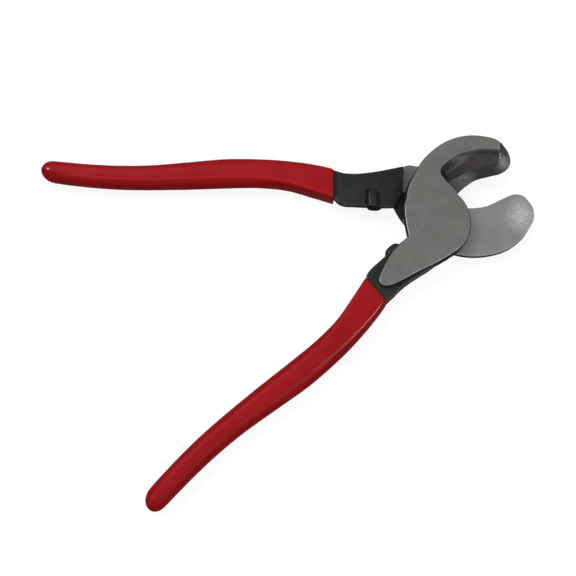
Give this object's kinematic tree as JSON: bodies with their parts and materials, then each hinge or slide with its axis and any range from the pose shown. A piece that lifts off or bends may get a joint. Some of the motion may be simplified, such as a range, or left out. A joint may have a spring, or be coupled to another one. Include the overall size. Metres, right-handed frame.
{
  "type": "cable cutter",
  "caption": "Hand shear cable cutter: a hooked jaw crosses a curved blade at a riveted joint, with long bent handles in dipped grips.",
  "frame": {"origin": "on the pivot axis, in the ground outer face of the blade half, which is the face the tool rests on", "axes": "+Z is the pivot axis, from the blade half up to the hook half; +X runs along the bisector of the handles towards the jaws; +Y points towards the blade half's handle"},
  "size_m": [0.2214, 0.1818, 0.014],
  "materials": {
    "forged_steel": "ground satin faces on a black oxide forging",
    "rivet_steel": "ground flush with the joint faces",
    "grip_vinyl": "glossy dipped vinyl"
  },
  "bodies": {
    "blade_side": {"blade_half": "forged_steel", "blade_half_grip": "grip_vinyl", "pivot_rivet": "rivet_steel"},
    "hook_side": {"hook_half": "forged_steel", "hook_half_grip": "grip_vinyl"}
  },
  "joints": [
    {"name": "jaw_pivot", "type": "hinge", "parent": "blade_side", "child": "hook_side", "pos_m": [0, 0, 0.007], "axis": [0, 0, 1], "range_deg": [-40, 6]}
  ]
}
